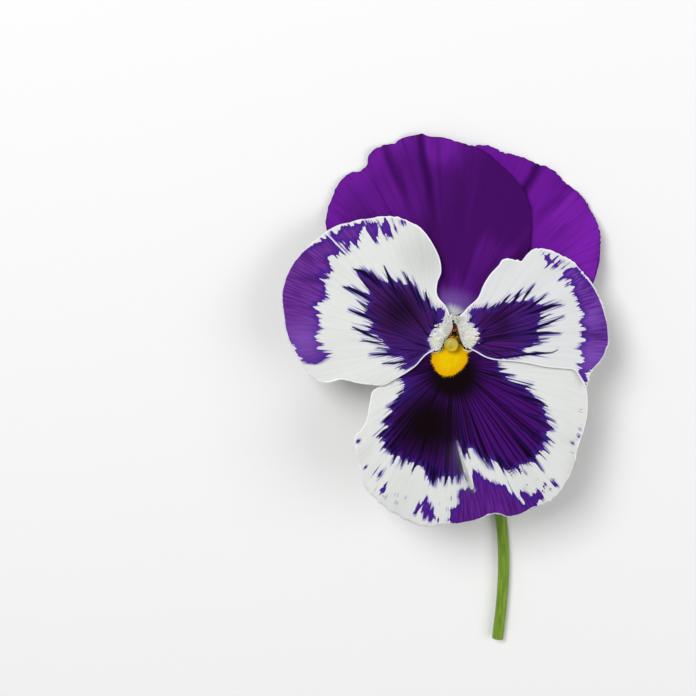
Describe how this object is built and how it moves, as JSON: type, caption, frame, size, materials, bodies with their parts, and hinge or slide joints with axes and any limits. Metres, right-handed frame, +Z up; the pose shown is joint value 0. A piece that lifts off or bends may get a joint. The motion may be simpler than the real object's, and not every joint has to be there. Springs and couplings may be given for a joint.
{
  "type": "pansy flower",
  "caption": "A picked pansy lying face up: two purple upper petals, white side and lower petals with dark violet blotches and rims, yellow throat, sepals and a hooked stem.",
  "frame": {"origin": "middle of the bounding box's underside, on the surface that the flower lies on", "axes": "+Z up from the surface, out of the face of the bloom apart from its lean; +Y from the cut end of the stem to the upper petals; +X to the right as the face is seen from above"},
  "size_m": [0.0596, 0.0998, 0.0196],
  "materials": {
    "petal_purple": "velvety deep purple, paler at the margins",
    "petal_white": "satin white with dark violet blotch and purple rim",
    "sepal_green": "matte leaf green",
    "anther_orange": "matte papery",
    "stigma_yellow_green": "moist satin",
    "stem_green": "satin yellow green"
  },
  "bodies": {
    "root": {"petal_upper_left": "petal_purple", "petal_upper_right": "petal_purple", "petal_side_left": "petal_white", "petal_side_right": "petal_white", "petal_lower": "petal_white", "sepal_1": "sepal_green", "sepal_2": "sepal_green", "sepal_3": "sepal_green", "sepal_4": "sepal_green", "sepal_5": "sepal_green", "stamen_1": "anther_orange", "stamen_2": "anther_orange", "stamen_3": "anther_orange", "stamen_4": "anther_orange", "stamen_5": "anther_orange", "pistil": "stigma_yellow_green", "peduncle": "stem_green"}
  },
  "joints": []
}
